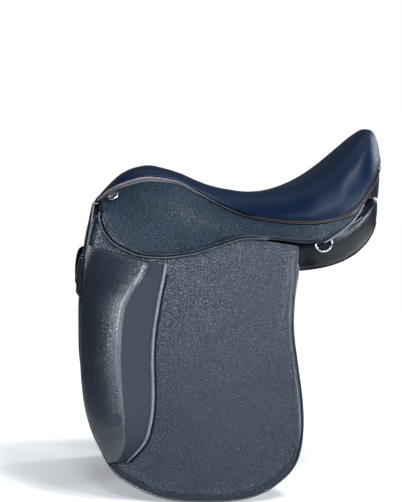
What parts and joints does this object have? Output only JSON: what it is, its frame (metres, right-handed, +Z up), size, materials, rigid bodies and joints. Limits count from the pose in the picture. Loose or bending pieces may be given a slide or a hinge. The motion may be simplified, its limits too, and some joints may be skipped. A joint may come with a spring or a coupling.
{
  "type": "riding saddle",
  "caption": "English riding saddle with deep crowned seat, skirts, long flaps with knee blocks, flocked panels, stirrup bars, girth straps and dees.",
  "frame": {"origin": "middle plane of the saddle, at the ceiling of the channel under the lowest point of the seat", "axes": "+X to the rear (cantle), -X to the front (pommel), -Y to the near (left) side, +Z up"},
  "size_m": [0.5061, 0.4662, 0.5791],
  "materials": {
    "steel": "satin",
    "strap_leather": "plain strap leather, black",
    "smooth_leather": "smooth, blue black, soft gloss",
    "grained_leather": "fine pebble grain, slate black, semi matt",
    "chrome": "polished",
    "webbing": "woven webbing",
    "edge_leather": "smooth, black",
    "foam": "open foam",
    "piping_leather": "smooth, pale rolled piping",
    "tree_laminate": "lacquered laminate"
  },
  "bodies": {
    "saddle": {"bar_rivet_1_left": "steel", "bar_rivet_1_right": "steel", "bar_rivet_2_left": "steel", "bar_rivet_2_right": "steel", "cantle_facing": "smooth_leather", "catch_pin_left": "steel", "catch_pin_right": "steel", "channel_lining": "smooth_leather", "front_dee_clip_left": "chrome", "front_dee_clip_right": "chrome", "girth_web_left": "webbing", "girth_web_right": "webbing", "gullet_plate": "steel", "leg_pad_left": "smooth_leather", "leg_pad_right": "smooth_leather", "panel_left": "smooth_leather", "panel_right": "smooth_leather", "point_pocket_left": "edge_leather", "point_pocket_right": "edge_leather", "pommel_facing_left": "edge_leather", "pommel_facing_right": "edge_leather", "rear_dee_loop_left": "strap_leather", "rear_dee_loop_right": "strap_leather", "seat_cover": "smooth_leather", "seat_foam": "foam", "seat_web_cross": "webbing", "seat_web_long": "webbing", "seat_welt": "piping_leather", "skirt_left": "grained_leather", "skirt_right": "grained_leather", "spring_steel_left": "steel", "spring_steel_right": "steel", "stirrup_bar_left": "steel", "stirrup_bar_right": "steel", "sweat_flap_left": "smooth_leather", "sweat_flap_right": "smooth_leather", "tree": "tree_laminate"},
    "flap_left": {"flap_left": "grained_leather", "knee_block_left": "grained_leather"},
    "skirt_lobe_left": {"skirt_lobe_left": "grained_leather"},
    "bar_catch_left": {"bar_catch_left": "steel"},
    "front_dee_left": {"front_dee_left": "chrome"},
    "rear_dee_left": {"rear_dee_left": "chrome"},
    "billet_front_left": {"billet_front_left": "strap_leather"},
    "billet_rear_left": {"billet_rear_left": "strap_leather"},
    "flap_right": {"flap_right": "grained_leather", "knee_block_right": "grained_leather"},
    "skirt_lobe_right": {"skirt_lobe_right": "grained_leather"},
    "bar_catch_right": {"bar_catch_right": "steel"},
    "front_dee_right": {"front_dee_right": "chrome"},
    "rear_dee_right": {"rear_dee_right": "chrome"},
    "billet_front_right": {"billet_front_right": "strap_leather"},
    "billet_rear_right": {"billet_rear_right": "strap_leather"}
  },
  "joints": [
    {"name": "flap_lift_left", "type": "hinge", "parent": "saddle", "child": "flap_left", "pos_m": [-0.05, -0.12476, 0.0076], "axis": [-0.9788, 0.1367, 0.1525], "range_deg": [0, 70]},
    {"name": "skirt_lift_left", "type": "hinge", "parent": "flap_left", "child": "skirt_lobe_left", "pos_m": [-0.08, -0.12057, 0.01227], "axis": [-0.9788, 0.1367, 0.1525], "range_deg": [0, 60]},
    {"name": "bar_catch_turn_left", "type": "hinge", "parent": "saddle", "child": "bar_catch_left", "pos_m": [-0.07622, -0.1207, -0.00672], "axis": [-0.0954, -0.9633, 0.2509], "range_deg": [0, 75]},
    {"name": "front_dee_swing_left", "type": "hinge", "parent": "saddle", "child": "front_dee_left", "pos_m": [-0.19414, -0.08106, 0.06046], "axis": [-0.9176, 0.2088, -0.3384], "range_deg": [0, 110]},
    {"name": "rear_dee_swing_left", "type": "hinge", "parent": "saddle", "child": "rear_dee_left", "pos_m": [0.1365, -0.14245, -0.01178], "axis": [-0.9589, -0.023, -0.2827], "range_deg": [0, 16]},
    {"name": "billet_front_swing_left", "type": "hinge", "parent": "saddle", "child": "billet_front_left", "pos_m": [-0.02825, -0.1211, -0.00996], "axis": [-0.0954, -0.9633, 0.2509], "range_deg": [-5, 5]},
    {"name": "billet_rear_swing_left", "type": "hinge", "parent": "saddle", "child": "billet_rear_left", "pos_m": [0.03244, -0.12958, -0.01942], "axis": [-0.0954, -0.9633, 0.2509], "range_deg": [-5, 5]},
    {"name": "flap_lift_right", "type": "hinge", "parent": "saddle", "child": "flap_right", "pos_m": [-0.05, 0.12476, 0.0076], "axis": [0.9788, 0.1367, -0.1525], "range_deg": [0, 70]},
    {"name": "skirt_lift_right", "type": "hinge", "parent": "flap_right", "child": "skirt_lobe_right", "pos_m": [-0.08, 0.12057, 0.01227], "axis": [0.9788, 0.1367, -0.1525], "range_deg": [0, 60]},
    {"name": "bar_catch_turn_right", "type": "hinge", "parent": "saddle", "child": "bar_catch_right", "pos_m": [-0.07622, 0.1207, -0.00672], "axis": [0.0954, -0.9633, -0.2509], "range_deg": [0, 75]},
    {"name": "front_dee_swing_right", "type": "hinge", "parent": "saddle", "child": "front_dee_right", "pos_m": [-0.19414, 0.08106, 0.06046], "axis": [0.9176, 0.2088, 0.3384], "range_deg": [0, 110]},
    {"name": "rear_dee_swing_right", "type": "hinge", "parent": "saddle", "child": "rear_dee_right", "pos_m": [0.1365, 0.14245, -0.01178], "axis": [0.9589, -0.023, 0.2827], "range_deg": [0, 16]},
    {"name": "billet_front_swing_right", "type": "hinge", "parent": "saddle", "child": "billet_front_right", "pos_m": [-0.02825, 0.1211, -0.00996], "axis": [-0.0954, 0.9633, 0.2509], "range_deg": [-5, 5]},
    {"name": "billet_rear_swing_right", "type": "hinge", "parent": "saddle", "child": "billet_rear_right", "pos_m": [0.03244, 0.12958, -0.01942], "axis": [-0.0954, 0.9633, 0.2509], "range_deg": [-5, 5]}
  ]
}
